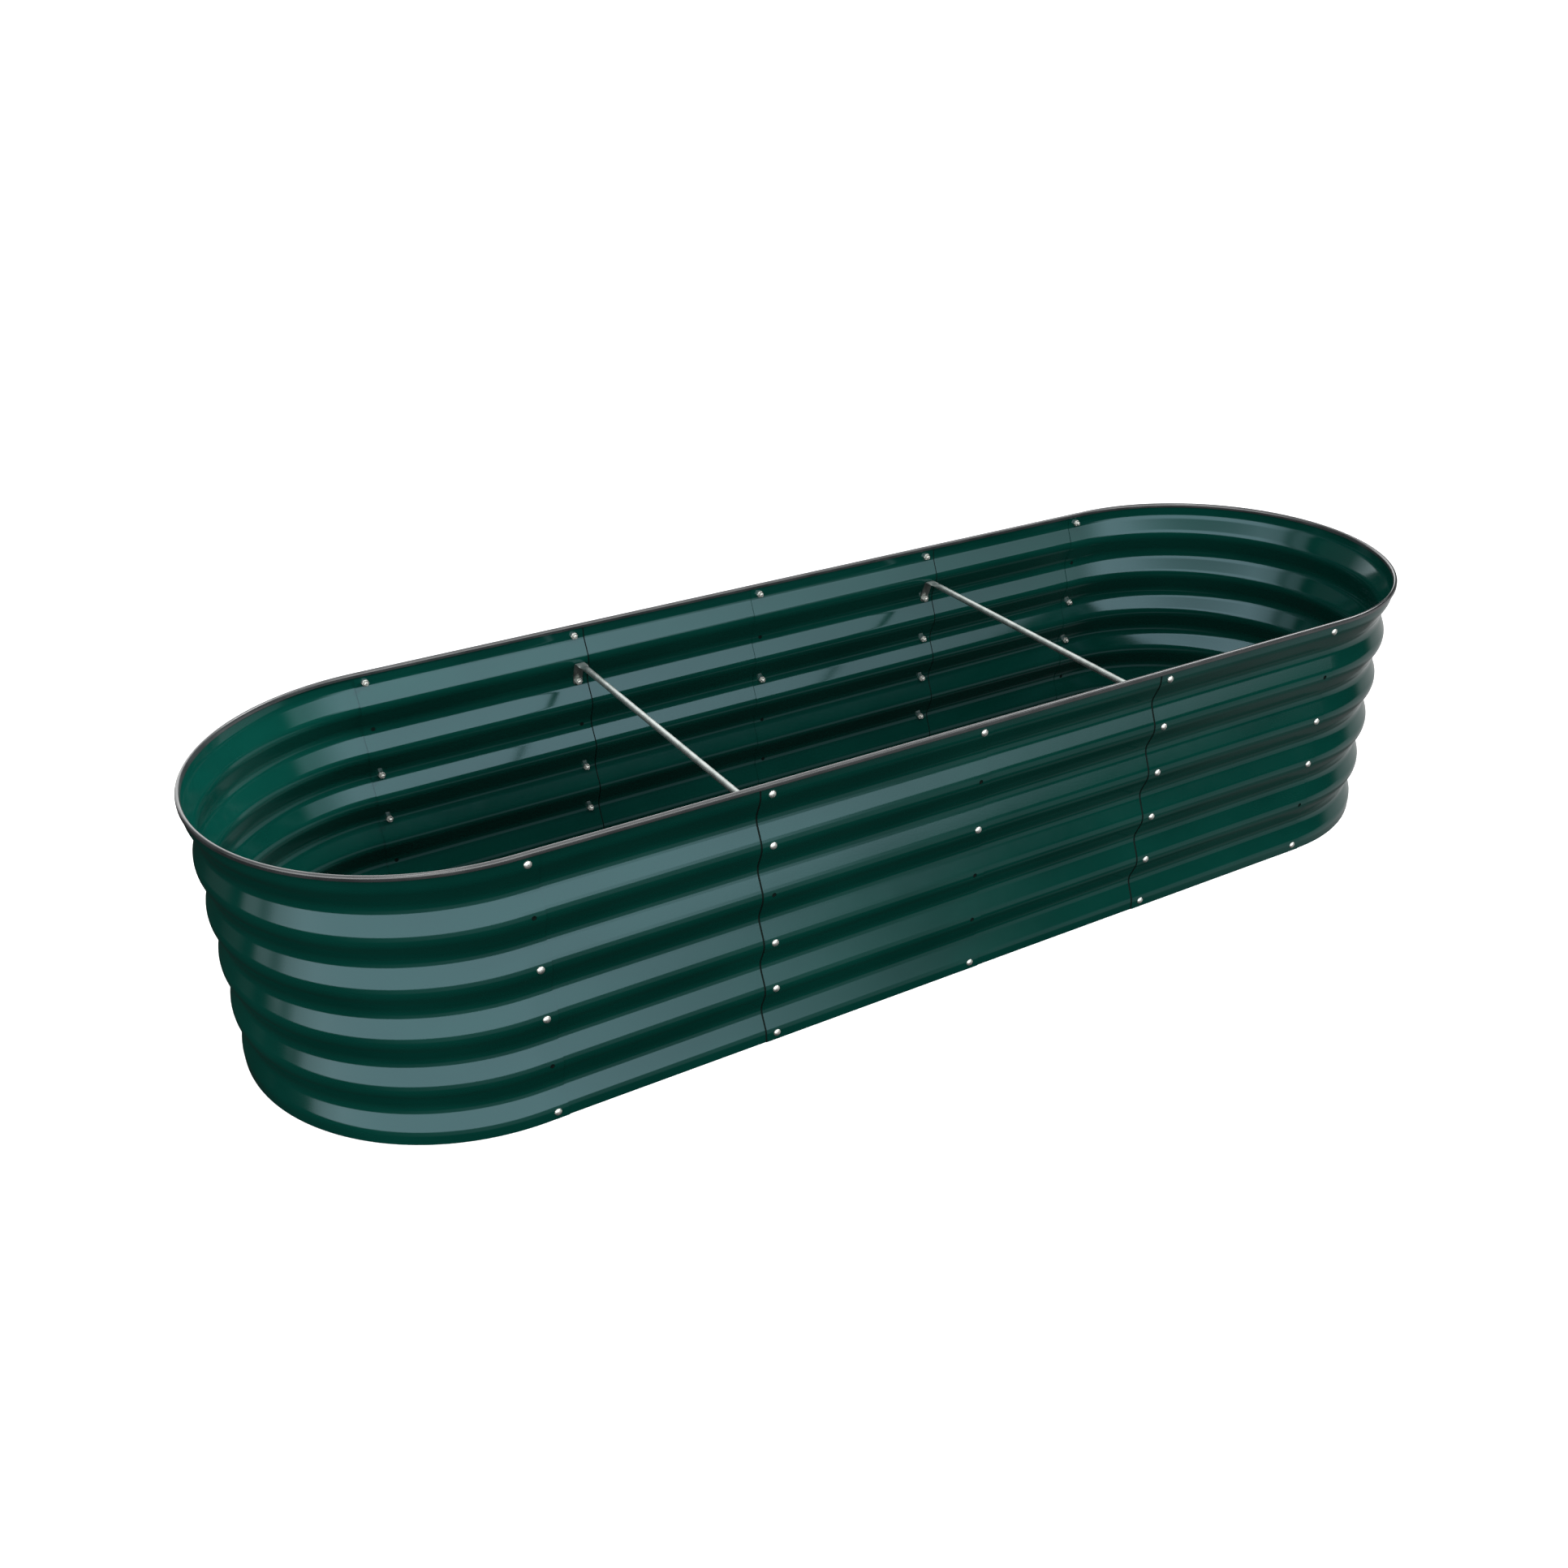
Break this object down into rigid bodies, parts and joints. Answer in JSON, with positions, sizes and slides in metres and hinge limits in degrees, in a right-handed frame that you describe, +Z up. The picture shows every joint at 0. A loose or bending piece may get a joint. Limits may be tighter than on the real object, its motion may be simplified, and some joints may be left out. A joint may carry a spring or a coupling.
{
  "type": "raised garden bed",
  "caption": "Long raised garden bed with rounded ends, bolted from corrugated steel panels, with rubber rim edging and tie rods across, open at the top and bottom.",
  "frame": {"origin": "centre of the bed's footprint, on the ground", "axes": "+X along the bed to the right, +Y from the front to the back, +Z up"},
  "size_m": [2.006, 0.6306, 0.409],
  "materials": {
    "green_paint": "glossy dark green paint over corrugated galvanised sheet",
    "edging_rubber": "satin dark grey rubber channel",
    "bolt_zinc": "bright zinc plating",
    "rod_zinc": "galvanised tube, flattened at its ends"
  },
  "bodies": {
    "root": {"left_end_panel": "green_paint", "right_end_panel": "green_paint", "front_panel_ab": "green_paint", "back_panel_ab": "green_paint", "front_panel_bc": "green_paint", "back_panel_bc": "green_paint", "front_panel_cd": "green_paint", "back_panel_cd": "green_paint", "front_panel_de": "green_paint", "back_panel_de": "green_paint", "front_bolts_a": "bolt_zinc", "front_nuts_a": "bolt_zinc", "front_bolts_b": "bolt_zinc", "front_nuts_b": "bolt_zinc", "front_bolts_c": "bolt_zinc", "front_nuts_c": "bolt_zinc", "front_bolts_d": "bolt_zinc", "front_nuts_d": "bolt_zinc", "front_bolts_e": "bolt_zinc", "front_nuts_e": "bolt_zinc", "back_bolts_a": "bolt_zinc", "back_nuts_a": "bolt_zinc", "back_bolts_b": "bolt_zinc", "back_nuts_b": "bolt_zinc", "back_bolts_c": "bolt_zinc", "back_nuts_c": "bolt_zinc", "back_bolts_d": "bolt_zinc", "back_nuts_d": "bolt_zinc", "back_bolts_e": "bolt_zinc", "back_nuts_e": "bolt_zinc", "rim_edging": "edging_rubber", "tie_rod_b": "rod_zinc", "tie_rod_d": "rod_zinc"}
  },
  "joints": []
}
